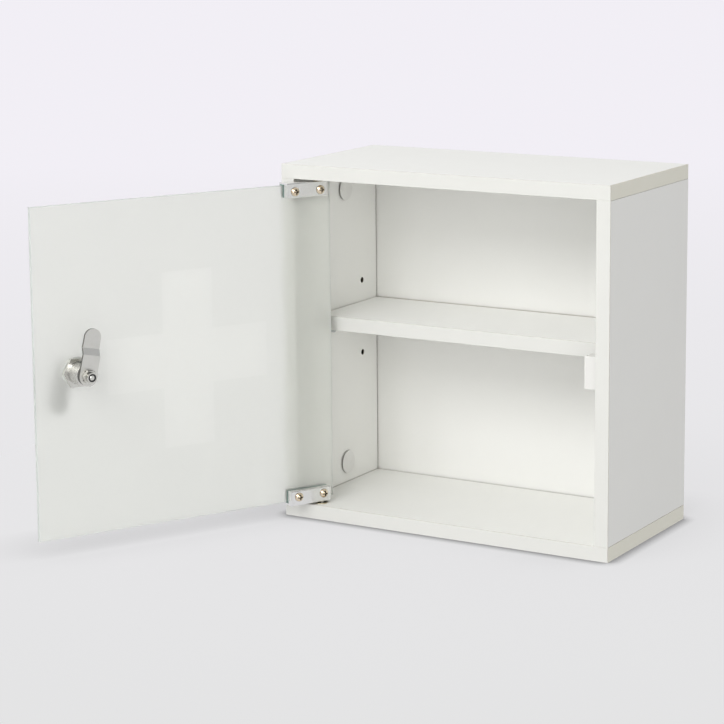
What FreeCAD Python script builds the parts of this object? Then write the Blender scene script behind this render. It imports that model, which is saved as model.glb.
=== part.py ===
import FreeCAD, Part
import math
import os

V = FreeCAD.Vector

# Wall-hung medicine cabinet in millimetres. The origin is the middle of the underside, +X is to the
# right of someone facing the door, +Y goes to the wall and +Z is up. The door stands open.

# Carcass of coated boards
cabinet_width = 300.0
cabinet_height = 300.0
cabinet_depth = 150.0
board = 12.0
board_arris = 0.6
edge_band = 0.5
band_round = 0.3

# Back panel, held in grooves all round
back_thickness = 3.0
back_recess = 13.0
groove_depth = 5.0
groove_play = 0.9
back_edge_play = 0.5

# Shelf and its pins
shelf_thickness = 12.0
shelf_setback = 34.5
shelf_back_gap = 0.5
shelf_side_gap = 0.5
middle_row_height = 154.5
row_pitch = 32.0
pin_from_shelf_front = 14.5
pin_from_shelf_back = 24.5
pin_diameter = 5.0
pin_hole_depth = 8.5
pin_play = 0.05
pin_end_gap = 0.5
tongue_diameter = 7.0
tongue_length = 8.0
pin_seat_rise = 1.5

# Corner joints: two dowels and one cam fitting at each end of each side panel
dowel_diameter = 6.0
dowel_in_face = 8.5
dowel_in_end = 13.0
dowel_from_middle = 45.0
dowel_play = 0.1
dowel_end_gap = 0.5
dowel_chamfer = 0.8
cam_diameter = 15.0
cam_from_end = 18.0
cam_bore_depth = 9.5
cam_thickness = 9.0
cam_play = 0.1
cam_face_recess = 0.2
fitting_y = 6.0
bolt_diameter = 5.0
bolt_in_face = 8.5
bolt_head_diameter = 5.5
bolt_head_length = 3.0
bolt_neck_diameter = 3.6
bolt_neck_length = 5.0
bolt_play = 0.1
bolt_end_gap = 0.5
cap_diameter = 19.5
cap_height = 2.5
cap_edge_height = 1.7
cap_seat_diameter = 16.5
cap_seat_height = 1.1
cap_stub_diameter = 4.0
cap_stub_length = 2.0
cap_stub_play = 0.1

# Glass door
glass_thickness = 4.0
glass_front_recess = 0.5
glass_side_gap = 3.0
glass_end_gap = 4.0
glass_arris = 0.4
open_angle = 118.0

# Pivot of the door and its clamps
pivot_from_side = 17.5
pivot_from_front = 9.5
hinge_gap = 1.6
pivot_diameter = 4.0
pivot_in_clamp = 4.2
pivot_play = 0.05
pivot_chamfer = 0.5
bush_diameter = 7.0
bush_depth = 8.0
bush_floor = 1.0
bush_flange_diameter = 10.6
bush_flange = 0.8
bush_play = 0.03
upper_pivot_end_gap = 0.5
clamp_length = 38.0
clamp_from_glass_edge = 7.0
clamp_height = 12.5
clamp_wall = 1.2
clamp_base = 1.4
clamp_inner_jaw = 5.0
clamp_round = 0.7
pad_outer = 0.4
pad_inner = 0.5
pad_top_drop = 0.3
plate_thickness = 1.4
plate_end_drop = 0.5
clamp_screw_pitch = 24.0
clamp_screw_from_end = 6.5
clamp_screw_rise = 7.2
clamp_screw_diameter = 4.0
clamp_screw_play = 0.05
clamp_head_diameter = 7.4
clamp_head_height = 3.0
clamp_head_rim = 0.7
recess_width = 1.2
recess_length = 4.4
recess_depth = 1.8

# Cam lock through the door. Lengths along its axis run inward from the inner face of the glass.
lock_from_free_edge = 36.0
lock_lean = 12.0
glass_hole_diameter = 19.0
bezel_diameter = 23.0
bezel_height = 3.0
bezel_round = 1.0
washer_thickness = 0.8
outer_washer_diameter = 22.0
inner_washer_diameter = 24.5
barrel_diameter = 18.4
barrel_flats = 16.4
barrel_end = 19.4
barrel_play = 0.1
nut_across_flats = 23.0
nut_thickness = 3.5
nut_chamfer = 0.7
plug_diameter = 12.0
plug_head_diameter = 15.0
plug_head_height = 2.0
plug_play = 0.05
plug_face_recess = 0.2
tail_square = 8.0
tail_play = 0.1
stud_diameter = 4.0
stud_end = 29.2
stud_chamfer = 0.4
keyway_length = 20.6

# Cranked cam and its nut
cam_gap = 0.2
cam_plate = 2.0
cam_reach = 37.6
cam_eye_radius = 7.6
cam_tip_radius = 7.0
crank_start = 16.8
crank_end = 22.0
crank_offset = 3.5
cam_nut_across_flats = 10.0
cam_nut_thickness = 4.6
cam_nut_chamfer = 0.6
nut_collar_diameter = 8.2
nut_collar_height = 2.6
insert_diameter = 6.6
insert_thickness = 1.6

# Folding key
blade_thickness = 2.0
blade_width = 7.0
blade_play = 0.15
blade_tip_gap = 1.0
shoulder_width = 8.0
shoulder_gap = 0.3
shoulder_length = 9.0
key_pin_from_bezel = 18.0
key_pin_diameter = 2.5
key_pin_play = 0.05
bow_thickness = 6.5
bow_slot_play = 0.15
bow_slot_past_pin = 4.2
bow_eye_radius = 5.5
bow_end_radius = 11.0
bow_length = 28.0
bow_round = 1.2
bow_hole_diameter = 4.5

# Keeper block that the cam turns behind, and that stops the door
keeper_reach = 12.0
keeper_height = 26.8
keeper_round = 1.0
door_stop_gap = 0.3
keeper_cam_gap = 0.8
keeper_screw_pitch = 14.0
keeper_screw_diameter = 3.0
keeper_screw_bite = 8.0
keeper_screw_play = 0.1
keeper_head_diameter = 6.0
keeper_head_sink = 0.4

# Keyhole hangers in the recess behind the back panel
hanger_side_gap = 5.0
hanger_width = 36.0
hanger_thickness = 1.5
hanger_drop = 34.0
hanger_back_gap = 0.5
hanger_bend_round = 2.0
keyhole_drop = 22.0
keyhole_entry_diameter = 9.0
keyhole_slot_width = 4.5
keyhole_rise = 8.0
hanger_screw_pitch = 22.0
hanger_screw_diameter = 3.5
hanger_screw_bite = 9.0
hanger_screw_play = 0.1
hanger_head_diameter = 6.4
hanger_head_height = 2.0

# Places that follow from the sizes above
half_width = cabinet_width / 2
inner_x = half_width - board
front_y = -cabinet_depth / 2
rear_y = cabinet_depth / 2
floor_z = board
ceiling_z = cabinet_height - board
middle_z = cabinet_height / 2
board_middle_x = half_width - board / 2
back_rear_y = rear_y - back_recess
back_face_y = back_rear_y - back_thickness

shelf_front_y = front_y + shelf_setback
shelf_rear_y = back_face_y - shelf_back_gap
shelf_half_width = inner_x - shelf_side_gap
shelf_bottom_z = middle_row_height + pin_seat_rise
shelf_top_z = shelf_bottom_z + shelf_thickness
pin_columns = (shelf_front_y + pin_from_shelf_front, shelf_rear_y - pin_from_shelf_back)
pin_rows = [middle_row_height + step * row_pitch for step in (-1, 0, 1)]

glass_outer_y = front_y + glass_front_recess
glass_inner_y = glass_outer_y + glass_thickness
glass_half_width = inner_x - glass_side_gap
glass_low_z = floor_z + glass_end_gap
glass_high_z = ceiling_z - glass_end_gap

pivot_x = -inner_x + pivot_from_side
pivot_y = front_y + pivot_from_front
clamp_low_z = floor_z + hinge_gap
clamp_high_z = clamp_low_z + clamp_height
clamp_hinge_x = -glass_half_width + clamp_from_glass_edge
clamp_free_x = clamp_hinge_x + clamp_length
jaw_low_y = pivot_y - clamp_inner_jaw / 2
jaw_high_y = pivot_y + clamp_inner_jaw / 2
plate_low_y = glass_inner_y + pad_inner
plate_high_y = plate_low_y + plate_thickness
clamp_screw_xs = [clamp_hinge_x + clamp_screw_from_end + step * clamp_screw_pitch for step in (0, 1)]
clamp_screw_z = clamp_low_z + clamp_screw_rise
bush_bottom_z = floor_z - bush_depth

lock_x = glass_half_width - lock_from_free_edge
bezel_seat = -glass_thickness - washer_thickness
bezel_face = bezel_seat - bezel_height
plug_face = bezel_face + plug_face_recess
nut_face = washer_thickness + nut_thickness
cam_seat = barrel_end + cam_gap
cam_face = cam_seat + cam_plate
cam_tip_seat = cam_seat - crank_offset
key_pin_place = bezel_face - key_pin_from_bezel
keyway_end = plug_face + keyway_length
cam_nut_face = cam_face + cam_nut_thickness
collar_face = cam_nut_face + nut_collar_height
insert_seat = collar_face - insert_thickness

keeper_front_y = glass_inner_y + door_stop_gap
keeper_rear_y = glass_inner_y + cam_tip_seat - keeper_cam_gap
keeper_middle_y = (keeper_front_y + keeper_rear_y) / 2
keeper_inner_x = inner_x - keeper_reach
keeper_screw_zs = [middle_z + side * keeper_screw_pitch / 2 for side in (-1, 1)]

hanger_x = inner_x - hanger_side_gap - hanger_width / 2
hanger_xs = [-hanger_x, hanger_x]
hanger_screw_y = (back_rear_y + rear_y) / 2
keyhole_z = ceiling_z - keyhole_drop


def block(xs, ys, zs):
    """A box between a low and a high value along each axis."""
    low = V(xs[0], ys[0], zs[0])
    return Part.makeBox(xs[1] - xs[0], ys[1] - ys[0], zs[1] - zs[0], low)


def rod(radius, start, end):
    """A round bar from one point to another."""
    along = end - start
    return Part.makeCylinder(radius, along.Length, start, along)


def turned(profile):
    """A solid of revolution about Z, from corners given as (radius, height)."""
    corners = [V(radius, 0, height) for radius, height in profile]
    face = Part.Face(Part.makePolygon(corners + corners[:1]))
    return face.revolve(V(0, 0, 0), V(0, 0, 1), 360)


def domed(radius, rim, top, others):
    """A solid of revolution about Z with a ball-shaped end, from its rim up to the axis.

    The other corners of its half section run from the axis round to below the rim."""
    rise = top - rim
    ball = (radius ** 2 + rise ** 2) / (2 * rise)
    half_angle = math.asin(radius / ball) / 2
    halfway = V(ball * math.sin(half_angle), 0, top - ball + ball * math.cos(half_angle))
    dome = Part.Arc(V(radius, 0, rim), halfway, V(0, 0, top)).toShape()
    corners = [V(0, 0, top)] + [V(place, 0, height) for place, height in others] + [V(radius, 0, rim)]
    section = Part.Face(Part.Wire([dome] + Part.makePolygon(corners).Edges))
    return section.revolve(V(0, 0, 0), V(0, 0, 1), 360)


def prism(corners, along):
    """A straight extrusion of a closed outline of points."""
    return Part.Face(Part.makePolygon(corners + corners[:1])).extrude(along)


def hexagon(across_flats, low, high, chamfer):
    """A hexagonal bar along Z, flats facing +Y and -Y, with both ends turned to a chamfer."""
    corner = across_flats / math.sqrt(3)
    points = [V(corner * math.cos(math.radians(60 * k)), corner * math.sin(math.radians(60 * k)), low)
              for k in range(6)]
    bar = prism(points, V(0, 0, high - low))
    edge = corner - chamfer
    ends = turned([(0, low), (edge, low), (corner, low + chamfer / 2), (corner, high - chamfer / 2),
                   (edge, high), (0, high)])
    return bar.common(ends)


def two_circle_outline(radius_a, radius_b, distance):
    """A flat face around two circles on the Y axis, the second at the distance, joined by tangents."""
    slope = math.asin((radius_a - radius_b) / distance)
    rise, reach = math.sin(slope), math.cos(slope)
    a_right = V(radius_a * reach, radius_a * rise, 0)
    a_left = V(-radius_a * reach, radius_a * rise, 0)
    b_right = V(radius_b * reach, distance + radius_b * rise, 0)
    b_left = V(-radius_b * reach, distance + radius_b * rise, 0)
    edges = [
        Part.Arc(a_left, V(0, -radius_a, 0), a_right).toShape(),
        Part.LineSegment(a_right, b_right).toShape(),
        Part.Arc(b_right, V(0, distance + radius_b, 0), b_left).toShape(),
        Part.LineSegment(b_left, a_left).toShape(),
    ]
    return Part.Face(Part.Wire(edges))


def rounded(shape, radius, chosen):
    """The shape with a fillet on every edge whose middle point is chosen."""
    edges = [edge for edge in shape.Edges if chosen(edge.CenterOfMass)]
    return shape.makeFillet(radius, edges)


def turned_to(shape, centre, axis, angle):
    """A copy of the shape, turned about an axis through a point."""
    copy = shape.copy()
    copy.rotate(centre, axis, angle)
    return copy


def moved(shape, offset):
    """A copy of the shape, moved."""
    copy = shape.copy()
    copy.translate(offset)
    return copy


def flipped_x(shape):
    """The shape's mirror image on the other side of the cabinet."""
    return shape.mirror(V(0, 0, 0), V(1, 0, 0))


def flipped_z(shape):
    """The shape's mirror image above the cabinet's middle height."""
    return shape.mirror(V(0, 0, middle_z), V(0, 0, 1))


def opened(shape):
    """A piece of the closed door, carried round the pivot to the open door."""
    return turned_to(shape, V(pivot_x, pivot_y, 0), V(0, 0, 1), -open_angle)


def in_door(shape):
    """A lock piece on its own Z axis, put through the open door. Its -Y side ends up on top."""
    upright = turned_to(shape, V(0, 0, 0), V(1, 0, 0), -90)
    return opened(moved(upright, V(lock_x, glass_inner_y, middle_z)))


def leaning(shape):
    """A lock piece that shares the barrel's small turn in its round hole."""
    return turned_to(shape, V(0, 0, 0), V(0, 0, 1), -lock_lean)


def at_corners(make):
    """A piece of the lower right corner joint, repeated at all four corners."""
    lower_right = make()
    lower = [lower_right, flipped_x(lower_right)]
    return lower + [flipped_z(piece) for piece in lower]


def together(pieces):
    """Separate solids kept as one group."""
    return Part.makeCompound(pieces)


# Corner joints


def dowels_lower_right():
    """The two dowels between the bottom panel and the right side panel."""
    radius = dowel_diameter / 2
    low, high = floor_z - dowel_in_face, floor_z + dowel_in_end
    profile = [(0, low), (radius - dowel_chamfer, low), (radius, low + dowel_chamfer),
               (radius, high - dowel_chamfer), (radius - dowel_chamfer, high), (0, high)]
    dowel = turned(profile)
    return together([moved(dowel, V(board_middle_x, side * dowel_from_middle, 0)) for side in (-1, 1)])


def dowel_holes(low, high):
    """Cutters for the dowels of the lower right corner, between two heights."""
    radius = dowel_diameter / 2 + dowel_play
    return [rod(radius, V(board_middle_x, side * dowel_from_middle, low),
                V(board_middle_x, side * dowel_from_middle, high)) for side in (-1, 1)]


def bolt_lower_right():
    """The bolt that stands in the bottom panel and hooks into the cam of the right side panel."""
    shank, neck, head = bolt_diameter / 2, bolt_neck_diameter / 2, bolt_head_diameter / 2
    head_high = floor_z + cam_from_end + bolt_head_length / 2
    head_low = head_high - bolt_head_length
    neck_low = head_low - bolt_neck_length
    low = floor_z - bolt_in_face
    profile = [(0, low), (shank, low), (shank, neck_low), (neck, neck_low), (neck, head_low),
               (head, head_low), (head, head_high), (0, head_high)]
    return moved(turned(profile), V(board_middle_x, fitting_y, 0))


def bolt_hole(low, high):
    """A cutter for the bolt of the lower right corner, between two heights."""
    radius = bolt_head_diameter / 2 + bolt_play
    return rod(radius, V(board_middle_x, fitting_y, low), V(board_middle_x, fitting_y, high))


def cam_lower_right():
    """The cam in the right side panel, bored for its bolt and with a recess that takes the cap."""
    height = floor_z + cam_from_end
    face_x = inner_x + cam_face_recess
    disc = rod(cam_diameter / 2 - cam_play, V(face_x, fitting_y, height),
               V(face_x + cam_thickness, fitting_y, height))
    drive_radius = cap_stub_diameter / 2 + cap_stub_play
    drive = rod(drive_radius, V(face_x, fitting_y, height), V(face_x + cap_stub_length, fitting_y, height))
    return disc.cut(together([bolt_hole(floor_z, height + bolt_head_length), drive]))


def cap_lower_right():
    """The domed cap over the cam, held by a stub in the cam's recess, its rim clear of the board."""
    radius, stub, seat = cap_diameter / 2, cap_stub_diameter / 2, cap_seat_diameter / 2
    cap = domed(radius, cap_edge_height, cap_height,
                [(0, -cap_stub_length), (stub, -cap_stub_length), (stub, 0), (seat, 0),
                 (seat, cap_seat_height), (radius, cap_seat_height)])
    facing_in = turned_to(cap, V(0, 0, 0), V(0, 1, 0), -90)
    return moved(facing_in, V(inner_x, fitting_y, floor_z + cam_from_end))


# Boards of the carcass


def bottom_panel():
    """The bottom board: back groove, dowel and bolt holes at both ends, and the pivot bush's hole."""
    core = block((-half_width + edge_band, half_width - edge_band), (front_y + edge_band, rear_y),
                 (0, floor_z))
    groove_half = inner_x + groove_depth
    groove = block((-groove_half, groove_half),
                   (back_face_y - groove_play, back_rear_y), (floor_z - groove_depth, floor_z))
    right_holes = dowel_holes(floor_z - dowel_in_face - dowel_end_gap, floor_z)
    right_holes.append(rod(bolt_diameter / 2, V(board_middle_x, fitting_y, floor_z - bolt_in_face),
                           V(board_middle_x, fitting_y, floor_z)))
    left_holes = [flipped_x(hole) for hole in right_holes]
    bush_hole = rod(bush_diameter / 2 + bush_play, V(pivot_x, pivot_y, bush_bottom_z),
                    V(pivot_x, pivot_y, floor_z))
    return core.cut(together([groove, bush_hole] + right_holes + left_holes))


def top_panel():
    """The top board, the bottom board's mirror image, with pilot holes for the hanger screws."""
    radius = hanger_screw_diameter / 2
    pilots = [rod(radius, V(x, hanger_screw_y, ceiling_z), V(x, hanger_screw_y, ceiling_z + hanger_screw_bite))
              for x in hanger_screw_xs()]
    return flipped_z(bottom_panel()).cut(together(pilots))


def side_panel():
    """The right side board without the keeper's pilot holes."""
    core = block((inner_x, half_width), (front_y + edge_band, rear_y), (floor_z, ceiling_z))
    middle_y = (front_y + edge_band + rear_y) / 2
    core = rounded(core, board_arris, lambda middle: abs(middle.y - middle_y) < board_arris)
    groove = block((inner_x, inner_x + groove_depth),
                   (back_face_y - groove_play, back_rear_y), (floor_z, ceiling_z))
    pin_radius = pin_diameter / 2 + pin_play
    pin_holes = [rod(pin_radius, V(inner_x, y, z), V(inner_x + pin_hole_depth, y, z))
                 for y in pin_columns for z in pin_rows]
    cam_height = floor_z + cam_from_end
    low_cuts = dowel_holes(floor_z, floor_z + dowel_in_end + dowel_end_gap)
    low_cuts.append(bolt_hole(floor_z, cam_height))
    low_cuts.append(rod(cam_diameter / 2, V(inner_x, fitting_y, cam_height),
                        V(inner_x + cam_bore_depth, fitting_y, cam_height)))
    high_cuts = [flipped_z(cut) for cut in low_cuts]
    return core.cut(together([groove] + pin_holes + low_cuts + high_cuts))


def right_side_panel():
    """The right side board, with pilot holes for the keeper's screws."""
    radius = keeper_screw_diameter / 2
    pilots = [rod(radius, V(inner_x, keeper_middle_y, z), V(inner_x + keeper_screw_bite, keeper_middle_y, z))
              for z in keeper_screw_zs]
    return side_panel().cut(together(pilots))


def back_panel():
    """The thin board in the grooves."""
    reach = groove_depth - back_edge_play
    return block((-inner_x - reach, inner_x + reach), (back_face_y, back_rear_y),
                 (floor_z - reach, ceiling_z + reach))


def front_strip(xs, zs, front):
    """An edge band on a front edge, eased along its outer rim."""
    strip = block(xs, (front, front + edge_band), zs)
    return rounded(strip, band_round, lambda middle: middle.y < front + edge_band / 10)


def front_edge_bands():
    """The bands on the front edges of the four outer boards."""
    wide = (-half_width, half_width)
    right = front_strip((inner_x, half_width), (floor_z, ceiling_z), front_y)
    bottom = front_strip(wide, (0, floor_z), front_y)
    return together([bottom, flipped_z(bottom), right, flipped_x(right)])


def end_edge_bands():
    """The bands on the end edges of the top and bottom boards."""
    outer = half_width - edge_band / 10
    strip = block((half_width - edge_band, half_width), (front_y + edge_band, rear_y), (0, floor_z))
    right = rounded(strip, band_round, lambda middle: middle.x > outer)
    lower = [right, flipped_x(right)]
    return together(lower + [flipped_z(band) for band in lower])


# Shelf


def shelf():
    """The loose shelf board."""
    return block((-shelf_half_width, shelf_half_width), (shelf_front_y + edge_band, shelf_rear_y),
                 (shelf_bottom_z, shelf_top_z))


def shelf_edge_band():
    """The band on the shelf's front edge."""
    return front_strip((-shelf_half_width, shelf_half_width), (shelf_bottom_z, shelf_top_z), shelf_front_y)


def shelf_pin(y):
    """A pin in the right side panel: a round stem, and a tongue cut flat where the shelf sits."""
    z = middle_row_height
    stem_end = inner_x + pin_hole_depth - pin_end_gap
    stem = rod(pin_diameter / 2, V(inner_x, y, z), V(stem_end, y, z))
    tongue_radius = tongue_diameter / 2
    tongue = rod(tongue_radius, V(inner_x - tongue_length, y, z), V(inner_x, y, z))
    above_seat = block((inner_x - tongue_length, inner_x), (y - tongue_radius, y + tongue_radius),
                       (shelf_bottom_z, z + tongue_diameter))
    return stem.fuse(tongue.cut(above_seat))


def shelf_pins():
    """The four pins in the middle row of holes."""
    right = [shelf_pin(y) for y in pin_columns]
    return together(right + [flipped_x(pin) for pin in right])


# Keeper


def keeper_block():
    """The block that the cam turns behind, with two sunk screw holes."""
    body = block((keeper_inner_x, inner_x), (keeper_front_y, keeper_rear_y),
                 (middle_z - keeper_height / 2, middle_z + keeper_height / 2))
    body = rounded(body, keeper_round, lambda middle: middle.x < inner_x - keeper_reach / 10)
    head = keeper_head_diameter / 2 + keeper_screw_play
    shank = keeper_screw_diameter / 2 + keeper_screw_play
    cone_end = keeper_head_sink + head - shank
    hole = turned([(0, 0), (head, 0), (head, keeper_head_sink), (shank, cone_end), (shank, keeper_reach),
                   (0, keeper_reach)])
    return body.cut(together(in_keeper(hole)))


def in_keeper(piece):
    """A screw or hole that starts at Z = 0, put at both places in the keeper."""
    facing = turned_to(piece, V(0, 0, 0), V(0, 1, 0), 90)
    return [moved(facing, V(keeper_inner_x, keeper_middle_y, z)) for z in keeper_screw_zs]


def keeper_screws():
    """The two countersunk screws that hold the keeper on the side panel."""
    head, shank = keeper_head_diameter / 2, keeper_screw_diameter / 2
    cone_end = keeper_head_sink + head - shank
    tip = keeper_reach + keeper_screw_bite
    screw = turned([(0, keeper_head_sink), (head, keeper_head_sink), (shank, cone_end), (shank, tip), (0, tip)])
    return together(in_keeper(screw.cut(cross_recess(keeper_head_sink))))


def cross_recess(face):
    """A cutter for a cross-head driver, sunk from a face at a height on Z."""
    bar = block((-recess_length / 2, recess_length / 2), (-recess_width / 2, recess_width / 2),
                (face, face + recess_depth))
    return bar.fuse(turned_to(bar, V(0, 0, 0), V(0, 0, 1), 90))


# Hangers on the hidden side


def hanger_screw_xs():
    """Places of the hanger screws across the cabinet."""
    return [x + side * hanger_screw_pitch / 2 for x in hanger_xs for side in (-1, 1)]


def hanger(x):
    """An angle bracket under the top panel, whose upright leg has a keyhole flush with the rear edges."""
    xs = (x - hanger_width / 2, x + hanger_width / 2)
    seat = block(xs, (back_rear_y + hanger_back_gap, rear_y), (ceiling_z - hanger_thickness, ceiling_z))
    upright = block(xs, (rear_y - hanger_thickness, rear_y), (ceiling_z - hanger_drop, ceiling_z))
    angle = seat.fuse(upright).removeSplitter()
    angle = rounded(angle, hanger_bend_round,
                    lambda middle: middle.y > rear_y - hanger_thickness / 10
                    and middle.z > ceiling_z - hanger_thickness / 10)
    through = V(0, hanger_thickness, 0)
    entry_start = V(x, rear_y - hanger_thickness, keyhole_z)
    slot_start = entry_start + V(0, 0, keyhole_rise)
    slot_half = keyhole_slot_width / 2
    keyhole = [rod(keyhole_entry_diameter / 2, entry_start, entry_start + through),
               rod(slot_half, slot_start, slot_start + through),
               block((x - slot_half, x + slot_half), (rear_y - hanger_thickness, rear_y),
                     (keyhole_z, keyhole_z + keyhole_rise))]
    screw_radius = hanger_screw_diameter / 2 + hanger_screw_play
    holes = [rod(screw_radius, V(place, hanger_screw_y, ceiling_z - hanger_thickness),
                 V(place, hanger_screw_y, ceiling_z))
             for place in (x - hanger_screw_pitch / 2, x + hanger_screw_pitch / 2)]
    return angle.cut(together(keyhole + holes))


def wall_hangers():
    """The two hangers."""
    return together([hanger(x) for x in hanger_xs])


def hanger_screws():
    """The pan-head screws of the hangers."""
    head, shank = hanger_head_diameter / 2, hanger_screw_diameter / 2
    seat = ceiling_z - hanger_thickness
    low, tip = seat - hanger_head_height, ceiling_z + hanger_screw_bite
    rim = seat - hanger_head_height / 2
    profile = [(0, low), (head * 0.7, low), (head, rim), (head, seat), (shank, seat), (shank, tip), (0, tip)]
    screw = turned(profile).cut(cross_recess(low))
    return together([moved(screw, V(x, hanger_screw_y, 0)) for x in hanger_screw_xs()])


# Door and hinges, made with the door closed and then opened


def door_glass():
    """The glass pane with eased edges and the round hole for the lock."""
    pane = block((-glass_half_width, glass_half_width), (glass_outer_y, glass_inner_y),
                 (glass_low_z, glass_high_z))
    rim = [edge for edge in pane.Edges if edge.Length > 2 * glass_thickness]
    pane = pane.makeChamfer(glass_arris, rim)
    hole = rod(glass_hole_diameter / 2, V(lock_x, glass_outer_y, middle_z), V(lock_x, glass_inner_y, middle_z))
    return opened(pane.cut(hole))


def lower_clamp_closed():
    """The cast lower clamp: a thin outer jaw, a base and a thick inner jaw that carries pin and screws."""
    outer_high = glass_outer_y - pad_outer
    outer_low = outer_high - clamp_wall
    base_high = clamp_low_z + clamp_base
    corners = [V(clamp_hinge_x, y, z) for y, z in (
        (outer_low, clamp_low_z), (jaw_high_y, clamp_low_z), (jaw_high_y, clamp_high_z),
        (jaw_low_y, clamp_high_z), (jaw_low_y, base_high), (outer_high, base_high),
        (outer_high, clamp_high_z), (outer_low, clamp_high_z))]
    body = prism(corners, V(clamp_length, 0, 0))
    outer_faces = (outer_low, jaw_high_y)
    middle_x = clamp_hinge_x + clamp_length / 2
    body = rounded(body, clamp_round, lambda middle: abs(middle.x - middle_x) < clamp_length / 10
                   and min(abs(middle.y - face) for face in outer_faces) < clamp_wall / 10)
    screw_radius = clamp_screw_diameter / 2 + clamp_screw_play
    holes = [rod(screw_radius, V(x, jaw_low_y, clamp_screw_z), V(x, jaw_high_y, clamp_screw_z))
             for x in clamp_screw_xs]
    holes.append(rod(pivot_diameter / 2, V(pivot_x, pivot_y, clamp_low_z),
                     V(pivot_x, pivot_y, clamp_low_z + pivot_in_clamp)))
    return body.cut(together(holes))


def pivot_pin_closed(end_gap):
    """The lower pivot pin, pressed into the clamp. The gap is what it leaves above the bush's floor."""
    radius = pivot_diameter / 2
    low = bush_bottom_z + bush_floor + end_gap
    high = clamp_low_z + pivot_in_clamp
    profile = [(0, low), (radius - pivot_chamfer, low), (radius, low + pivot_chamfer),
               (radius, high), (0, high)]
    return moved(turned(profile), V(pivot_x, pivot_y, 0))


def lower_pivot_bush():
    """The flanged blind bush in the bottom panel."""
    bore, outside, flange = pivot_diameter / 2 + pivot_play, bush_diameter / 2, bush_flange_diameter / 2
    bore_low, flange_high = bush_bottom_z + bush_floor, floor_z + bush_flange
    profile = [(0, bush_bottom_z), (outside, bush_bottom_z), (outside, floor_z), (flange, floor_z),
               (flange, flange_high), (bore, flange_high), (bore, bore_low), (0, bore_low)]
    return moved(turned(profile), V(pivot_x, pivot_y, 0))


def lower_pad_closed():
    """The rubber liner that wraps the glass inside the lower clamp."""
    high = clamp_high_z - pad_top_drop
    base_high = clamp_low_z + clamp_base
    corners = [V(clamp_hinge_x, y, z) for y, z in (
        (glass_outer_y - pad_outer, base_high), (plate_low_y, base_high), (plate_low_y, high),
        (glass_inner_y, high), (glass_inner_y, glass_low_z), (glass_outer_y, glass_low_z),
        (glass_outer_y, high), (glass_outer_y - pad_outer, high))]
    return prism(corners, V(clamp_length, 0, 0))


def lower_plate_closed():
    """The plate that the clamp's screws press on the glass."""
    return block((clamp_hinge_x + plate_end_drop, clamp_free_x - plate_end_drop), (plate_low_y, plate_high_y),
                 (glass_low_z + plate_end_drop, clamp_high_z - plate_end_drop))


def clamp_screw_closed(x):
    """A pan-head screw through the inner jaw, whose tip bears on the pressure plate."""
    head, shank = clamp_head_diameter / 2, clamp_screw_diameter / 2
    length = jaw_high_y - plate_high_y
    screw = domed(head, -clamp_head_rim, -clamp_head_height,
                  [(0, length), (shank, length), (shank, 0), (head, 0)])
    screw = screw.cut(cross_recess(-clamp_head_height))
    pointing_out = turned_to(screw, V(0, 0, 0), V(1, 0, 0), 90)
    return moved(pointing_out, V(x, jaw_high_y, clamp_screw_z))


def at_both_hinges(lower):
    """A piece of the lower hinge and its mirror image at the upper one, on the open door."""
    return together([opened(lower), opened(flipped_z(lower))])


def hinge_screws():
    """The four clamp screws."""
    return at_both_hinges(together([clamp_screw_closed(x) for x in clamp_screw_xs]))


# Cam lock, made on its own axis and then put through the door


def lock_barrel():
    """The housing: a bezel outside the door and a threaded body with two flats through it."""
    bezel, body = bezel_diameter / 2, barrel_diameter / 2
    head, bore = plug_head_diameter / 2 + plug_play, plug_diameter / 2 + plug_play
    counterbore = plug_face + plug_head_height + cam_gap
    profile = [(head, bezel_face), (bezel - bezel_round, bezel_face), (bezel, bezel_face + bezel_round),
               (bezel, bezel_seat), (body, bezel_seat), (body, barrel_end), (bore, barrel_end),
               (bore, counterbore), (head, counterbore)]
    housing = turned(profile)
    beyond = barrel_diameter
    flat_cuts = [block((-beyond, beyond), ys, (bezel_seat, barrel_end))
                 for ys in ((barrel_flats / 2, beyond), (-beyond, -barrel_flats / 2))]
    return in_door(leaning(housing.cut(together(flat_cuts))))


def ring(outer_diameter, inner_diameter, low, high):
    """A flat ring about Z."""
    outer = rod(outer_diameter / 2, V(0, 0, low), V(0, 0, high))
    return outer.cut(rod(inner_diameter / 2, V(0, 0, low), V(0, 0, high)))


def lock_outer_washer():
    """The plastic washer between the bezel and the glass."""
    return in_door(ring(outer_washer_diameter, barrel_diameter + barrel_play, bezel_seat, -glass_thickness))


def lock_inner_washer():
    """The plastic washer between the nut and the glass."""
    return in_door(ring(inner_washer_diameter, barrel_diameter + barrel_play, 0, washer_thickness))


def lock_nut():
    """The hexagonal nut inside the door."""
    nut = hexagon(nut_across_flats, washer_thickness, nut_face, nut_chamfer)
    bore = rod((barrel_diameter + barrel_play) / 2, V(0, 0, washer_thickness), V(0, 0, nut_face))
    return in_door(nut.cut(bore))


def lock_plug():
    """The turning plug: a head in the bezel, a keyway, a square tail for the cam and a threaded stud."""
    head, body, stud = plug_head_diameter / 2, plug_diameter / 2, stud_diameter / 2
    head_end = plug_face + plug_head_height
    profile = [(0, plug_face), (head, plug_face), (head, head_end), (body, head_end), (body, barrel_end),
               (stud, barrel_end), (stud, stud_end - stud_chamfer), (stud - stud_chamfer, stud_end),
               (0, stud_end)]
    half = tail_square / 2
    tail = block((-half, half), (-half, half), (barrel_end, cam_face - cam_gap))
    slot_x, slot_y = blade_thickness / 2 + blade_play, blade_width / 2 + blade_play
    keyway = block((-slot_x, slot_x), (-slot_y, slot_y), (plug_face, keyway_end))
    return in_door(leaning(turned(profile).fuse(tail).cut(keyway)))


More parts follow.
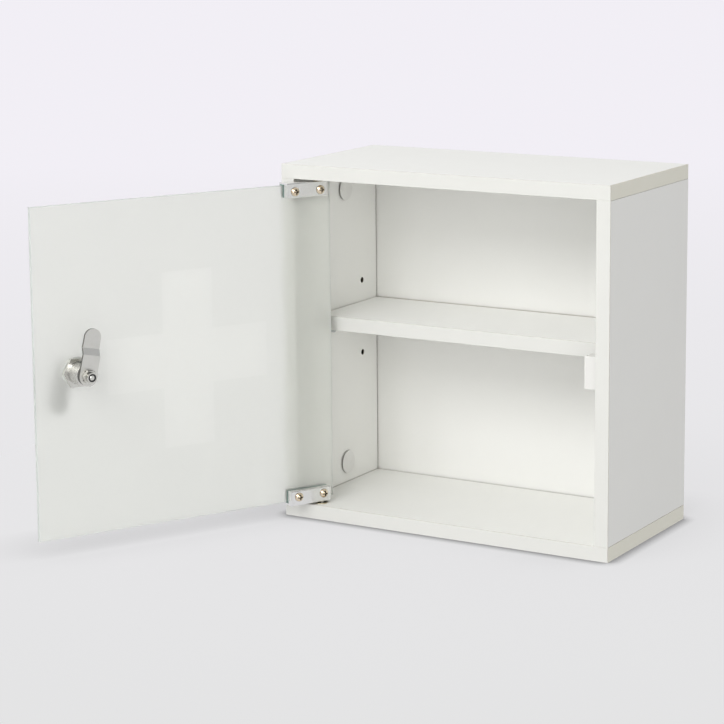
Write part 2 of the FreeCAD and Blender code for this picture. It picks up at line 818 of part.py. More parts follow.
def lock_cam():
    """The flat cam with a square eye, cranked towards the glass, pointing up."""
    tip_centre = cam_reach - cam_tip_radius
    outline = two_circle_outline(cam_eye_radius, cam_tip_radius, tip_centre)
    low, high = cam_tip_seat, cam_face
    plan = moved(outline, V(0, 0, low)).extrude(V(0, 0, high - low))
    side = [V(-cam_eye_radius, y, z) for y, z in (
        (-cam_eye_radius, cam_seat), (crank_start, cam_seat), (crank_end, cam_tip_seat), (cam_reach, cam_tip_seat),
        (cam_reach, cam_tip_seat + cam_plate), (crank_end, cam_tip_seat + cam_plate), (crank_start, cam_face),
        (-cam_eye_radius, cam_face))]
    cranked = prism(side, V(2 * cam_eye_radius, 0, 0))
    half = tail_square / 2 + tail_play
    eye = block((-half, half), (-half, half), (cam_seat, cam_face))
    cam = plan.common(cranked).cut(eye)
    return in_door(leaning(turned_to(cam, V(0, 0, 0), V(0, 0, 1), 180)))


def cam_nut():
    """The lock nut that holds the cam on the plug's stud, with a collar for its soft ring."""
    nut = hexagon(cam_nut_across_flats, cam_face, cam_nut_face, cam_nut_chamfer)
    collar = rod(nut_collar_diameter / 2, V(0, 0, cam_nut_face), V(0, 0, collar_face))
    bore = rod(stud_diameter / 2, V(0, 0, cam_face), V(0, 0, collar_face))
    seat = rod(insert_diameter / 2, V(0, 0, insert_seat), V(0, 0, collar_face))
    return in_door(leaning(nut.fuse(collar).cut(bore.fuse(seat))))


def cam_nut_insert():
    """The soft ring in the lock nut's collar, which grips the stud."""
    return in_door(leaning(ring(insert_diameter, stud_diameter, insert_seat, collar_face)))


# Folding key


def key_blade():
    """The flat blade in the keyway, with a shoulder and a round eye for the head's pin."""
    half, width = blade_thickness / 2, blade_width / 2
    tip = keyway_end - blade_tip_gap
    blade = block((-half, half), (-width, width), (key_pin_place, tip))
    shoulder_end = plug_face - shoulder_gap
    shoulder = block((-half, half), (-shoulder_width / 2, shoulder_width / 2),
                     (shoulder_end - shoulder_length, shoulder_end))
    eye = rod(width, V(-half, 0, key_pin_place), V(half, 0, key_pin_place))
    pin_hole = rod(key_pin_diameter / 2 + key_pin_play, V(-half, 0, key_pin_place), V(half, 0, key_pin_place))
    return in_door(leaning(blade.fuse([shoulder, eye]).cut(pin_hole)))


def key_bow():
    """The moulded head of the key, folded down, forked round the blade's eye."""
    half = bow_thickness / 2
    outline = two_circle_outline(bow_eye_radius, bow_end_radius, bow_length)
    head = moved(outline, V(0, 0, -half)).extrude(V(0, 0, bow_thickness))
    head = rounded(head, bow_round, lambda middle: abs(abs(middle.z) - half) < half / 10)
    slot_half = blade_thickness / 2 + bow_slot_play
    slot = block((-bow_end_radius, bow_end_radius), (-bow_eye_radius, bow_slot_past_pin), (-slot_half, slot_half))
    pin_hole = rod(key_pin_diameter / 2, V(0, 0, -half), V(0, 0, half))
    ring_hole = rod(bow_hole_diameter / 2, V(0, bow_length, -half), V(0, bow_length, half))
    head = head.cut(together([slot, pin_hole, ring_hole]))
    beside_blade = turned_to(head, V(0, 0, 0), V(0, 1, 0), 90)
    return in_door(leaning(moved(beside_blade, V(0, 0, key_pin_place))))


def key_pin():
    """The pin that joins the key's head and blade."""
    half = bow_thickness / 2
    pin = rod(key_pin_diameter / 2, V(-half, 0, key_pin_place), V(half, 0, key_pin_place))
    return in_door(leaning(pin))


PIECES = {
    "bottom_panel": bottom_panel(),
    "top_panel": top_panel(),
    "left_side_panel": flipped_x(side_panel()),
    "right_side_panel": right_side_panel(),
    "back_panel": back_panel(),
    "front_edge_bands": front_edge_bands(),
    "end_edge_bands": end_edge_bands(),
    "corner_dowels": together(at_corners(dowels_lower_right)),
    "corner_bolts": together(at_corners(bolt_lower_right)),
    "corner_cams": together(at_corners(cam_lower_right)),
    "cover_caps": together(at_corners(cap_lower_right)),
    "shelf": shelf(),
    "shelf_edge_band": shelf_edge_band(),
    "shelf_pins": shelf_pins(),
    "keeper_block": keeper_block(),
    "keeper_screws": keeper_screws(),
    "wall_hangers": wall_hangers(),
    "hanger_screws": hanger_screws(),
    "lower_pivot_bush": lower_pivot_bush(),
    "upper_pivot_bush": flipped_z(lower_pivot_bush()),
    "door_glass": door_glass(),
    "lower_hinge_clamp": opened(lower_clamp_closed()),
    "upper_hinge_clamp": opened(flipped_z(lower_clamp_closed())),
    "lower_pivot_pin": opened(pivot_pin_closed(0)),
    "upper_pivot_pin": opened(flipped_z(pivot_pin_closed(upper_pivot_end_gap))),
    "hinge_pads": at_both_hinges(lower_pad_closed()),
    "hinge_pressure_plates": at_both_hinges(lower_plate_closed()),
    "hinge_screws": hinge_screws(),
    "lock_barrel": lock_barrel(),
    "lock_outer_washer": lock_outer_washer(),
    "lock_inner_washer": lock_inner_washer(),
    "lock_nut": lock_nut(),
    "lock_plug": lock_plug(),
    "lock_cam": lock_cam(),
    "cam_nut": cam_nut(),
    "cam_nut_insert": cam_nut_insert(),
    "key_blade": key_blade(),
    "key_bow": key_bow(),
    "key_pin": key_pin(),
}

os.makedirs("parts", exist_ok=True)
for name, shape in PIECES.items():
    shape.exportStep("parts/" + name + ".step")
    print(name, len(shape.Solids), "solids", round(shape.Volume, 1), "mm3", "valid" if shape.isValid() else "BAD")
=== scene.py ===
import math

import bpy
from mathutils import Matrix, Vector

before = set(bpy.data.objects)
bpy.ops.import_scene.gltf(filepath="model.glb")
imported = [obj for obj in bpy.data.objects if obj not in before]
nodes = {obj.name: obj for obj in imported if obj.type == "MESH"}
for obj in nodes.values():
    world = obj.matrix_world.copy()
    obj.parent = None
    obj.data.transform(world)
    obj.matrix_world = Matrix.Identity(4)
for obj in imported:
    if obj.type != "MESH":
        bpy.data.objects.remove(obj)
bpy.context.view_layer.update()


def rgb(red, green, blue):
    """An opaque colour."""
    return (red, green, blue, 1.0)


ACROSS, BACKWARD, UPWARD = (1, 0, 0), (0, 1, 0), (0, 0, 1)

# The camera of the photograph, in metres and degrees, with its middle point in pixels of a 724 pixel frame
FRAME_PIXELS = 724
CAMERA_PLACE = (0.9400, -1.7712, 0.5509)
CAMERA_AZIMUTH = 30.418
CAMERA_ELEVATION = 9.605
CAMERA_ROLL = -0.427
FOCAL_PIXELS = 2447.5
MIDDLE_PIXEL = (380.0, 270.0)
SENSOR_WIDTH = 36.0
CLIP_START = 0.01

# The open door: its pivot, the way it runs from there, the way its inner face looks, its cross and its lock
DOOR_PIVOT = (-0.1205, -0.0655, 0.0)
DOOR_ALONG = (-0.469472, -0.882948, 0.0)
DOOR_INWARD = (0.882948, -0.469472, 0.0)
CROSS_FROM_PIVOT = 0.1205
CROSS_HEIGHT = 0.150
CROSS_HALF_LENGTH = 0.0725
CROSS_HALF_WIDTH = 0.0225
CROSS_EDGE = 0.0003
LOCK_PLACE = (-0.227964, -0.256960, 0.150)
THREAD_PITCH = 0.0010
THREAD_START, THREAD_FULL = 0.0015, 0.0025

# The coated boards: the two colours that a coating is cloudy between, and the bare core's two
BOARD_COATS = (rgb(0.880, 0.880, 0.852), rgb(0.865, 0.865, 0.836))
SHELF_COATS = (rgb(0.915, 0.915, 0.890), rgb(0.900, 0.900, 0.875))
BACK_COATS = (rgb(0.840, 0.838, 0.812), rgb(0.826, 0.824, 0.797))
CORE_COLOURS = (rgb(0.42, 0.30, 0.18), rgb(0.66, 0.52, 0.35))
CORE_ROUGHNESS = 0.9
CHIPS_PER_METRE = (320.0, 320.0, 620.0)
CHIP_HEIGHT = 5.0

# Painted shade in the seams where boards meet and in the pin holes: how far off a neighbour counts, in
# metres, the openness at which the shade is darkest and at which it ends, and its colours
SEAM_SHADE_REACH = 0.003
SEAM_SHADE_OPENNESS = (0.45, 0.70)
SEAM_SHADE_STRENGTH = 0.55
SEAM_SHADE_COLOUR = rgb(0.30, 0.27, 0.22)
HOLE_SHADE_REACH = 0.012
HOLE_SHADE_OPENNESS = (0.40, 0.80)
HOLE_SHADE_COLOUR = rgb(0.015, 0.012, 0.010)

# The same for the painted shade in the crevices of metal and at the foot of a cap
CREVICE_SHADE_OPENNESS = (0.30, 0.62)
CREVICE_SHADE_COLOUR = rgb(0.03, 0.025, 0.02)
FOOT_SHADE_OPENNESS = (0.5, 0.85)
FOOT_SHADE_STRENGTH = 0.9
FOOT_SHADE_COLOUR = rgb(0.10, 0.09, 0.08)
FEW_RAYS, MANY_RAYS = 4, 12

GLUE_COLOUR = rgb(0.42, 0.33, 0.22)
# A painted highlight along the bends of a sheet, and painted shade on its cut edges
BEND_HIGHLIGHT_COLOUR = rgb(0.97, 0.97, 0.95)
CUT_SHADE_COLOUR = rgb(0.16, 0.16, 0.15)

# The pane, its cross and its edges
ETCHED_COLOURS = (rgb(0.962, 0.972, 0.934), rgb(0.954, 0.964, 0.926))
CROSS_COLOUR = rgb(0.990, 0.998, 0.963)
RIM_COLOUR = rgb(0.82, 0.87, 0.84)
PANE_CLEARNESS, CROSS_CLEARNESS = 0.72, 0.66
CROSS_FROST = 0.05
RIM_ROUGHNESS = 0.30
GLASS_IOR = 1.5

# The floor: its half width, its colours, how it is shaded close to the object and more widely to the left,
# and how far from the object its own glow takes over
FLOOR_REACH = 14.0
FLOOR_COLOUR = rgb(0.75, 0.75, 0.755)
FLOOR_GLOWS = (rgb(0.775, 0.775, 0.78), rgb(0.885, 0.862, 0.915))
FLOOR_AWAY = (-0.5016, 0.8651, 0.0)
GLOW_SPAN = (-0.5, 2.4)
CONTACT_REACH = 0.012
CONTACT_SHADE = 0.4
LEFT_REACH = 0.09
LEFT_WAY = (0.65, -0.45, 0.61)
LEFT_SHADE = 0.76
SHADE_OPENNESS = (0.5, 1.0)
LIT_SPAN = (0.08, 0.50)
NEAR_GLOW = 0.88

# The room's light on every side, and what it gains overhead, to the left and behind or keeps to the right
ROOM_LEVEL = 0.25
ROOM_OVERHEAD = 0.55
ROOM_LEFT = 0.75
ROOM_BEHIND = 0.60
ROOM_RIGHT = 0.36

# The lamps: place in metres, power in watts and colour
LAMP_AIM = (0.0, 0.0, 0.15)
LAMP_WIDTH, LAMP_HEIGHT = 1.2, 0.9
LAMPS = {
    "right_lamp": ((1.8, -1.7, 0.6), 9.0, (1.0, 0.995, 0.95)),
    "front_lamp": ((0.1, -2.4, 0.6), 7.5, (1.0, 1.0, 1.0)),
    "high_lamp": ((0.2, -1.95, 1.5), 17.0, (1.0, 1.0, 1.0)),
    "left_lamp": ((-1.1, -1.7, 1.5), 15.0, (1.0, 1.0, 1.0)),
}


def put(tree, socket, value):
    """Sets a socket to a constant, or links another node's output to it."""
    if isinstance(value, bpy.types.NodeSocket):
        tree.links.new(value, socket)
    else:
        socket.default_value = value


def calc(tree, operation, *values):
    """A math node."""
    node = tree.nodes.new("ShaderNodeMath")
    node.operation = operation
    for socket, value in zip(node.inputs, values):
        put(tree, socket, value)
    return node.outputs[0]


def place(tree):
    """The point on the piece, in metres, which stays with the piece as it moves."""
    return tree.nodes.new("ShaderNodeTexCoord").outputs["Object"]


def along(tree, vector, direction, origin=(0.0, 0.0, 0.0)):
    """How far a point lies from an origin, along a direction."""
    offset = tree.nodes.new("ShaderNodeVectorMath")
    offset.operation = "SUBTRACT"
    put(tree, offset.inputs[0], vector)
    put(tree, offset.inputs[1], origin)
    dot = tree.nodes.new("ShaderNodeVectorMath")
    dot.operation = "DOT_PRODUCT"
    put(tree, dot.inputs[0], offset.outputs[0])
    put(tree, dot.inputs[1], direction)
    return dot.outputs["Value"]


def squareness(tree, direction):
    """One on faces square to a direction of the piece's own frame, and nought on faces along it."""
    normal = tree.nodes.new("ShaderNodeTexCoord").outputs["Normal"]
    return calc(tree, "ABSOLUTE", along(tree, normal, direction))


def noise(tree, vector, scale=1.0, detail=3.0):
    """Smooth noise with a mean of about one half."""
    node = tree.nodes.new("ShaderNodeTexNoise")
    put(tree, node.inputs["Vector"], vector)
    put(tree, node.inputs["Scale"], scale)
    put(tree, node.inputs["Detail"], detail)
    return node.outputs["Fac"]


def stretched(tree, vector, scale):
    """A point with each axis scaled, for grain and brushing."""
    node = tree.nodes.new("ShaderNodeMapping")
    put(tree, node.inputs["Vector"], vector)
    put(tree, node.inputs["Scale"], scale)
    return node.outputs["Vector"]


def spread(tree, value, span, low=0.0, high=1.0, smooth=False):
    """A value moved from a span to another range, held at its ends."""
    node = tree.nodes.new("ShaderNodeMapRange")
    if smooth:
        node.interpolation_type = "SMOOTHSTEP"
    for name, number in (("Value", value), ("From Min", span[0]), ("From Max", span[1]),
                         ("To Min", low), ("To Max", high)):
        put(tree, node.inputs[name], number)
    return node.outputs["Result"]


def wandering(tree, value, low, high):
    """Noise moved to a range, from the span that most of it lies in."""
    return spread(tree, value, (0.3, 0.7), low, high)


def mixed(tree, factor, first, second):
    """A mix of two colours."""
    node = tree.nodes.new("ShaderNodeMix")
    node.data_type = "RGBA"
    put(tree, node.inputs[0], factor)
    put(tree, node.inputs[6], first)
    put(tree, node.inputs[7], second)
    return node.outputs[2]


def mixed_value(tree, factor, first, second):
    """A mix of two numbers."""
    node = tree.nodes.new("ShaderNodeMix")
    put(tree, node.inputs[0], factor)
    put(tree, node.inputs[2], first)
    put(tree, node.inputs[3], second)
    return node.outputs[0]


def raised(tree, shader, height, strength, distance):
    """Bumps on a shader's surface."""
    node = tree.nodes.new("ShaderNodeBump")
    put(tree, node.inputs["Height"], height)
    put(tree, node.inputs["Strength"], strength)
    put(tree, node.inputs["Distance"], distance)
    put(tree, shader.inputs["Normal"], node.outputs["Normal"])


def openness(tree, reach, way=None, rays=MANY_RAYS):
    """One on an open face, and less where something stands within reach of it, or of a way that is given."""
    node = tree.nodes.new("ShaderNodeAmbientOcclusion")
    node.samples = rays
    put(tree, node.inputs["Distance"], reach)
    if way:
        axis = tree.nodes.new("ShaderNodeCombineXYZ")
        for socket, value in zip(axis.inputs, way):
            put(tree, socket, value)
        put(tree, node.inputs["Normal"], axis.outputs[0])
    return node.outputs["AO"]


def new_look(name):
    """A material with its tree and its main shader."""
    look = bpy.data.materials.new(name)
    look.use_nodes = True
    return look, look.node_tree, look.node_tree.nodes["Principled BSDF"]


def coated_board(name, axis, core, coats=BOARD_COATS):
    """White coated particle board. Its bare core shows on every face cut between its two coated ones."""
    look, tree, shader = new_look(name)
    point = place(tree)
    coat = mixed(tree, noise(tree, point, scale=22.0), *coats)
    chips = tree.nodes.new("ShaderNodeTexVoronoi")
    put(tree, chips.inputs["Vector"], stretched(tree, point, CHIPS_PER_METRE))
    put(tree, chips.inputs["Scale"], 1.0)
    tone = tree.nodes.new("ShaderNodeSeparateColor")
    put(tree, tone.inputs[0], chips.outputs["Color"])
    bare = mixed(tree, tone.outputs[0], *CORE_COLOURS)
    # Painted shade in the seams where boards meet, darkest where a neighbour stands close
    seam_shade = spread(tree, openness(tree, SEAM_SHADE_REACH, rays=FEW_RAYS), SEAM_SHADE_OPENNESS, SEAM_SHADE_STRENGTH, 0.0)
    coat = mixed(tree, seam_shade, coat, SEAM_SHADE_COLOUR)
    # Painted shade in the pin holes, on the bare core where their walls close in
    hole_shade = spread(tree, openness(tree, HOLE_SHADE_REACH, rays=FEW_RAYS), HOLE_SHADE_OPENNESS, 1.0, 0.0)
    bare = mixed(tree, hole_shade, bare, HOLE_SHADE_COLOUR)
    depth = calc(tree, "ABSOLUTE", along(tree, point, axis))
    past_low = calc(tree, "GREATER_THAN", depth, core[0])
    short_of_high = calc(tree, "LESS_THAN", depth, core[1])
    is_bare = calc(tree, "MULTIPLY", past_low, short_of_high)
    put(tree, shader.inputs["Base Color"], mixed(tree, is_bare, coat, bare))
    gloss = wandering(tree, noise(tree, point, scale=60.0), 0.45, 0.55)
    core_gloss = calc(tree, "MULTIPLY", is_bare, CORE_ROUGHNESS)
    put(tree, shader.inputs["Roughness"], calc(tree, "MAXIMUM", gloss, core_gloss))
    pebbles = noise(tree, point, scale=1400.0, detail=2.0)
    chip_height = calc(tree, "MULTIPLY", calc(tree, "MULTIPLY", tone.outputs[1], CHIP_HEIGHT), is_bare)
    raised(tree, shader, calc(tree, "ADD", pebbles, chip_height), strength=0.12, distance=0.0002)
    return look


def edge_banding(name, colours, outward):
    """The glued plastic bands: smoother than the boards, with brown glue along their sides."""
    look, tree, shader = new_look(name)
    point = place(tree)
    band = mixed(tree, noise(tree, point, scale=30.0), *colours)
    side = spread(tree, squareness(tree, outward), (0.2, 0.5), 1.0, 0.0)
    put(tree, shader.inputs["Base Color"], mixed(tree, side, band, GLUE_COLOUR))
    put(tree, shader.inputs["Roughness"], wandering(tree, noise(tree, point, scale=90.0), 0.34, 0.44))
    grain = noise(tree, stretched(tree, point, (700.0, 700.0, 2200.0)))
    raised(tree, shader, grain, strength=0.06, distance=0.0002)
    return look


def frosted_glass():
    """Etched glass, whiter and a little rougher inside a plain cross, with green ground edges."""
    look, tree, shader = new_look("frosted_glass")
    point = place(tree)
    from_pivot = along(tree, point, DOOR_ALONG, DOOR_PIVOT)
    out = calc(tree, "ABSOLUTE", calc(tree, "SUBTRACT", from_pivot, CROSS_FROM_PIVOT))
    up = calc(tree, "ABSOLUTE", calc(tree, "SUBTRACT", along(tree, point, UPWARD), CROSS_HEIGHT))

    def within(distance, limit):
        return spread(tree, distance, (limit - CROSS_EDGE, limit + CROSS_EDGE), 1.0, 0.0)

    flat_bar = calc(tree, "MULTIPLY", within(out, CROSS_HALF_LENGTH), within(up, CROSS_HALF_WIDTH))
    tall_bar = calc(tree, "MULTIPLY", within(out, CROSS_HALF_WIDTH), within(up, CROSS_HALF_LENGTH))
    cross = calc(tree, "MAXIMUM", flat_bar, tall_bar)
    rim = spread(tree, squareness(tree, DOOR_INWARD), (0.6, 0.9), 1.0, 0.0)
    etched = mixed(tree, noise(tree, point, scale=35.0), *ETCHED_COLOURS)
    pane = mixed(tree, cross, etched, CROSS_COLOUR)
    put(tree, shader.inputs["Base Color"], mixed(tree, rim, pane, RIM_COLOUR))
    clearness = mixed_value(tree, cross, PANE_CLEARNESS, CROSS_CLEARNESS)
    put(tree, shader.inputs["Transmission Weight"], clearness)
    frost = wandering(tree, noise(tree, point, scale=120.0), 0.44, 0.50)
    frost = calc(tree, "MULTIPLY_ADD", cross, CROSS_FROST, frost)
    put(tree, shader.inputs["Roughness"], mixed_value(tree, rim, frost, RIM_ROUGHNESS))
    put(tree, shader.inputs["IOR"], GLASS_IOR)
    raised(tree, shader, noise(tree, point, scale=4200.0, detail=2.0), strength=0.05, distance=0.00005)
    return look


def bright_metal(name, colours, roughness, scratches, crevice_shade_reach=0.002, sheet=None):
    """Plated or turned metal with a cloudy gloss, fine scratches and painted shade in its crevices.

    A sheet, given by the direction across it, also has a painted highlight along its bends and painted shade
    on its cut edges.
    """
    look, tree, shader = new_look(name)
    point = place(tree)
    put(tree, shader.inputs["Metallic"], 1.0)
    plate = mixed(tree, noise(tree, point, scale=160.0), *colours)
    if sheet:
        turned = squareness(tree, sheet)
        # A painted highlight along the sheet's bends
        plate = mixed(tree, spread(tree, turned, (0.90, 0.97), 1.0, 0.0), plate, BEND_HIGHLIGHT_COLOUR)
        # Painted shade on the sheet's cut edges
        plate = mixed(tree, spread(tree, turned, (0.2, 0.4), 1.0, 0.0), plate, CUT_SHADE_COLOUR)
    # Painted shade in crevices and recesses, where something stands within reach
    crevice_shade = spread(tree, openness(tree, crevice_shade_reach), CREVICE_SHADE_OPENNESS, 1.0, 0.0, smooth=True)
    put(tree, shader.inputs["Base Color"], mixed(tree, crevice_shade, plate, CREVICE_SHADE_COLOUR))
    cloud = noise(tree, point, scale=240.0, detail=4.0)
    put(tree, shader.inputs["Roughness"], wandering(tree, cloud, *roughness))
    lines = noise(tree, stretched(tree, point, (900.0, 900.0, 6000.0)), detail=2.0)
    raised(tree, shader, lines, strength=scratches, distance=0.00004)
    return look


def threaded_metal(name, colours, roughness):
    """The lock's plated body, with fine thread turns along its axis."""
    look, tree, shader = new_look(name)
    point = place(tree)
    put(tree, shader.inputs["Metallic"], 1.0)
    put(tree, shader.inputs["Base Color"], mixed(tree, noise(tree, point, scale=200.0), *colours))
    put(tree, shader.inputs["Roughness"], wandering(tree, noise(tree, point, scale=300.0), *roughness))
    depth = along(tree, point, DOOR_INWARD, LOCK_PLACE)
    turns = calc(tree, "SINE", calc(tree, "MULTIPLY", depth, 2 * math.pi / THREAD_PITCH))
    inside = spread(tree, depth, (THREAD_START, THREAD_FULL))
    raised(tree, shader, calc(tree, "MULTIPLY", turns, inside), strength=0.5, distance=0.00012)
    return look


def moulded_plastic(name, colours, roughness, foot_shade_reach=0.0):
    """Moulded plastic with a fine grain, and painted shade on a foot of a given height where it meets another
    piece.
    """
    look, tree, shader = new_look(name)
    point = place(tree)
    mould = mixed(tree, noise(tree, point, scale=80.0), *colours)
    if foot_shade_reach:
        # Painted shade at the foot, where another piece stands close
        shade = spread(tree, openness(tree, foot_shade_reach), FOOT_SHADE_OPENNESS, FOOT_SHADE_STRENGTH, 0.0)
        mould = mixed(tree, shade, mould, FOOT_SHADE_COLOUR)
    put(tree, shader.inputs["Base Color"], mould)
    put(tree, shader.inputs["Roughness"], wandering(tree, noise(tree, point, scale=200.0), *roughness))
    raised(tree, shader, noise(tree, point, scale=2600.0, detail=2.0), strength=0.08, distance=0.0001)
    return look


def plain_wood(name, colours, roughness):
    """Wood with its grain upright."""
    look, tree, shader = new_look(name)
    grain = noise(tree, stretched(tree, place(tree), (1600.0, 1600.0, 90.0)), detail=4.0)
    put(tree, shader.inputs["Base Color"], mixed(tree, grain, *colours))
    put(tree, shader.inputs["Roughness"], wandering(tree, grain, *roughness))
    raised(tree, shader, grain, strength=0.2, distance=0.0001)
    return look


def dress(look, *names):
    """Gives a look to CAD nodes."""
    for name in names:
        for slot in nodes[name].material_slots:
            slot.material = look


# Boards, each with the axis across its coated faces and the stretch of its bare core along that axis. The
# shelf is bare along its rear edge only.
dress(coated_board("bottom_board", UPWARD, (0.0002, 0.0118)), "bottom_panel")
dress(coated_board("top_board", UPWARD, (0.2882, 0.2998)), "top_panel")
dress(coated_board("side_board", ACROSS, (0.1382, 0.1498)), "left_side_panel", "right_side_panel")
dress(coated_board("shelf_board", BACKWARD, (0.0575, 0.0600), SHELF_COATS), "shelf")
dress(coated_board("back_board", BACKWARD, (0.0592, 0.0618), BACK_COATS), "back_panel")
dress(edge_banding("front_band", (rgb(0.690, 0.690, 0.658), rgb(0.670, 0.669, 0.636)), BACKWARD),
      "front_edge_bands", "shelf_edge_band")
dress(edge_banding("end_band", (rgb(0.820, 0.805, 0.705), rgb(0.795, 0.780, 0.675)), ACROSS),
      "end_edge_bands")
dress(plain_wood("beech", (rgb(0.62, 0.42, 0.24), rgb(0.78, 0.60, 0.40)), roughness=(0.55, 0.7)),
      "corner_dowels")

# Metals
dress(bright_metal("chrome", (rgb(0.87, 0.87, 0.865), rgb(0.79, 0.79, 0.785)), roughness=(0.16, 0.26),
                   scratches=0.12), "lower_hinge_clamp", "upper_hinge_clamp")
dress(bright_metal("nickel", (rgb(0.74, 0.735, 0.70), rgb(0.62, 0.615, 0.58)), roughness=(0.12, 0.22),
                   scratches=0.16, crevice_shade_reach=0.004), "lock_nut", "lock_plug", "cam_nut", "key_blade")
dress(bright_metal("warm_nickel", (rgb(0.84, 0.72, 0.56), rgb(0.66, 0.55, 0.40)), roughness=(0.10, 0.20),
                   scratches=0.20, crevice_shade_reach=0.004), "hinge_screws")
dress(bright_metal("cam_nickel", (rgb(0.80, 0.795, 0.765), rgb(0.70, 0.695, 0.665)), roughness=(0.32, 0.42),
                   scratches=0.16, crevice_shade_reach=0.004, sheet=DOOR_INWARD), "lock_cam")
dress(bright_metal("zinc_plate", (rgb(0.62, 0.63, 0.64), rgb(0.50, 0.51, 0.53)), roughness=(0.28, 0.42),
                   scratches=0.25),
      "corner_bolts", "corner_cams", "keeper_screws", "wall_hangers", "hanger_screws", "shelf_pins",
      "lower_pivot_pin", "upper_pivot_pin", "hinge_pressure_plates", "key_pin")
dress(bright_metal("brass", (rgb(0.86, 0.78, 0.60), rgb(0.76, 0.66, 0.46)), roughness=(0.14, 0.24),
                   scratches=0.15), "lower_pivot_bush", "upper_pivot_bush")
dress(threaded_metal("threaded_metal", (rgb(0.80, 0.79, 0.77), rgb(0.70, 0.69, 0.66)),
                     roughness=(0.16, 0.26)), "lock_barrel")

# Plastics, rubber and glass
dress(moulded_plastic("cap_plastic", (rgb(0.80, 0.795, 0.77), rgb(0.78, 0.775, 0.75)), roughness=(0.36, 0.46),
                      foot_shade_reach=0.003), "cover_caps")
dress(moulded_plastic("white_plastic", (rgb(0.72, 0.715, 0.69), rgb(0.70, 0.695, 0.67)),
                      roughness=(0.30, 0.40)), "keeper_block")
dress(moulded_plastic("pad_rubber", (rgb(0.22, 0.32, 0.28), rgb(0.17, 0.27, 0.23)), roughness=(0.6, 0.75)),
      "hinge_pads")
dress(moulded_plastic("washer_plastic", (rgb(0.70, 0.71, 0.69), rgb(0.64, 0.65, 0.63)),
                      roughness=(0.45, 0.55)), "lock_outer_washer", "lock_inner_washer")
dress(moulded_plastic("black_plastic", (rgb(0.018, 0.018, 0.019), rgb(0.012, 0.012, 0.013)),
                      roughness=(0.30, 0.42)), "key_bow", "cam_nut_insert")
dress(frosted_glass(), "door_glass")


def floor_shade(tree):
    """One on open floor, and less near the object. Bounced, mirrored and refracted rays meet open floor."""
    contact = spread(tree, openness(tree, CONTACT_REACH), SHADE_OPENNESS, CONTACT_SHADE, 1.0)
    left = spread(tree, openness(tree, LEFT_REACH, LEFT_WAY), SHADE_OPENNESS, LEFT_SHADE, 1.0)
    ray = tree.nodes.new("ShaderNodeLightPath").outputs
    bounced = calc(tree, "GREATER_THAN", ray["Diffuse Depth"], 0.5)
    glanced = calc(tree, "MAXIMUM", ray["Is Glossy Ray"], ray["Is Transmission Ray"])
    unseen = calc(tree, "MAXIMUM", bounced, glanced)
    return calc(tree, "MAXIMUM", unseen, calc(tree, "MULTIPLY", contact, left))


def studio_floor():
    """A wide pale sheet, lighter and cooler far behind the object, with a painted shadow where the object
    meets it.
    """
    mesh = bpy.data.meshes.new("floor")
    corners = [(x * FLOOR_REACH, y * FLOOR_REACH, 0) for x, y in ((-1, -1), (1, -1), (1, 1), (-1, 1))]
    mesh.from_pydata(corners, [], [(0, 1, 2, 3)])
    floor = bpy.data.objects.new("floor", mesh)
    bpy.context.scene.collection.objects.link(floor)
    look, tree, shader = new_look("floor_sheet")
    point = place(tree)
    # Painted shadow on the floor's glow and colour, close to the object and more widely to its left
    shade = floor_shade(tree)
    put(tree, shader.inputs["Base Color"], mixed(tree, shade, rgb(0.0, 0.0, 0.0), FLOOR_COLOUR))
    put(tree, shader.inputs["Roughness"], 0.9)
    put(tree, shader.inputs["Specular IOR Level"], 0.1)
    glow = tree.nodes.new("ShaderNodeEmission")
    away = spread(tree, along(tree, point, FLOOR_AWAY), GLOW_SPAN)
    put(tree, glow.inputs["Color"], mixed(tree, away, *FLOOR_GLOWS))
    put(tree, glow.inputs["Strength"], shade)
    distance = tree.nodes.new("ShaderNodeVectorMath")
    distance.operation = "LENGTH"
    put(tree, distance.inputs[0], point)
    lit = tree.nodes.new("ShaderNodeMixShader")
    put(tree, lit.inputs[0], spread(tree, distance.outputs["Value"], LIT_SPAN, NEAR_GLOW, 1.0, smooth=True))
    put(tree, lit.inputs[1], shader.outputs[0])
    put(tree, lit.inputs[2], glow.outputs[0])
    put(tree, tree.nodes["Material Output"].inputs["Surface"], lit.outputs[0])
    mesh.materials.append(look)


def area_light(name, spot, power, colour):
    """A soft rectangular lamp at a spot, turned to the object."""
    data = bpy.data.lights.new(name, "AREA")
    data.shape = "RECTANGLE"
    data.size = LAMP_WIDTH
    data.size_y = LAMP_HEIGHT
    data.energy = power
    data.color = colour
    lamp = bpy.data.objects.new(name, data)
    lamp.location = spot
    lamp.rotation_euler = (Vector(LAMP_AIM) - Vector(spot)).to_track_quat("-Z", "Y").to_euler()
    bpy.context.scene.collection.objects.link(lamp)


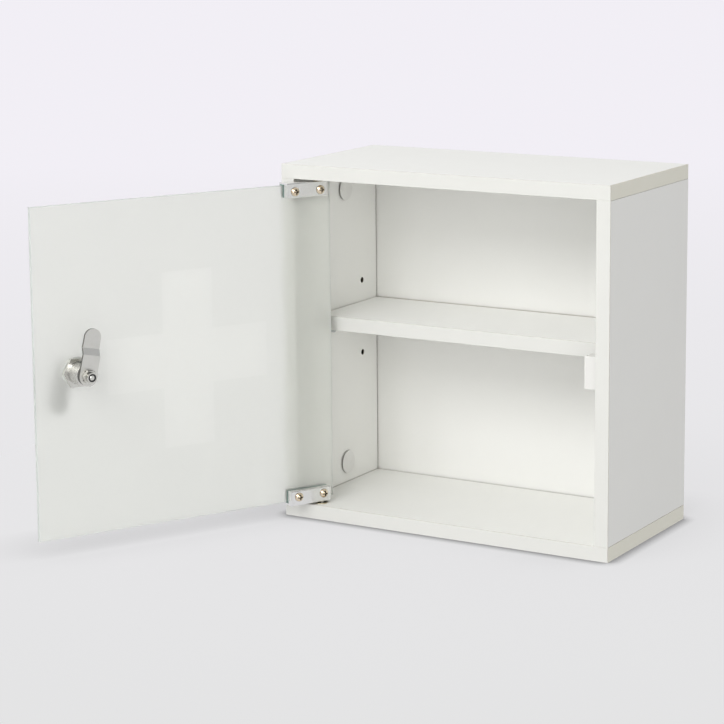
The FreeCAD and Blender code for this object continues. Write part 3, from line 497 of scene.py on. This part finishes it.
def studio_light():
    """A room that is light overhead, to the left and behind, and four soft lamps in front."""
    world = bpy.data.worlds.new("room")
    world.use_nodes = True
    tree = world.node_tree
    room = tree.nodes["Background"]
    put(tree, room.inputs["Color"], rgb(1.0, 1.0, 1.0))
    way = tree.nodes.new("ShaderNodeTexCoord").outputs["Generated"]

    def towards(direction):
        part = calc(tree, "MAXIMUM", along(tree, way, direction), 0.0)
        return calc(tree, "MULTIPLY", part, part)

    glow = calc(tree, "MULTIPLY_ADD", towards(UPWARD), ROOM_OVERHEAD, ROOM_LEVEL)
    kept = spread(tree, along(tree, way, ACROSS), (0.0, 1.0), 1.0, ROOM_RIGHT)
    glow = calc(tree, "MULTIPLY", glow, kept)
    glow = calc(tree, "MULTIPLY_ADD", towards((-1, 0, 0)), ROOM_LEFT, glow)
    glow = calc(tree, "MULTIPLY_ADD", towards(BACKWARD), ROOM_BEHIND, glow)
    put(tree, room.inputs["Strength"], glow)
    bpy.context.scene.world = world
    for name, (spot, power, colour) in LAMPS.items():
        area_light(name, spot, power, colour)


def photo_camera():
    """The camera at the photograph's view."""
    azimuth, elevation, roll = (math.radians(a) for a in (CAMERA_AZIMUTH, CAMERA_ELEVATION, CAMERA_ROLL))
    back = Vector((math.sin(azimuth) * math.cos(elevation), -math.cos(azimuth) * math.cos(elevation),
                   math.sin(elevation)))
    level = (-back).cross(Vector(UPWARD)).normalized()
    upright = level.cross(-back)
    right = level * math.cos(roll) + upright * math.sin(roll)
    up = upright * math.cos(roll) - level * math.sin(roll)
    stand = Matrix((right, up, back)).transposed().to_4x4()
    stand.translation = CAMERA_PLACE
    data = bpy.data.cameras.new("photo_camera")
    data.sensor_width = SENSOR_WIDTH
    data.lens = FOCAL_PIXELS / FRAME_PIXELS * SENSOR_WIDTH
    data.shift_x = (FRAME_PIXELS / 2 - MIDDLE_PIXEL[0]) / FRAME_PIXELS
    data.shift_y = (MIDDLE_PIXEL[1] - FRAME_PIXELS / 2) / FRAME_PIXELS
    data.clip_start = CLIP_START
    camera = bpy.data.objects.new("photo_camera", data)
    camera.matrix_world = stand
    bpy.context.scene.collection.objects.link(camera)
    bpy.context.scene.camera = camera


studio_floor()
studio_light()
photo_camera()
bpy.context.scene.view_settings.view_transform = "Standard"
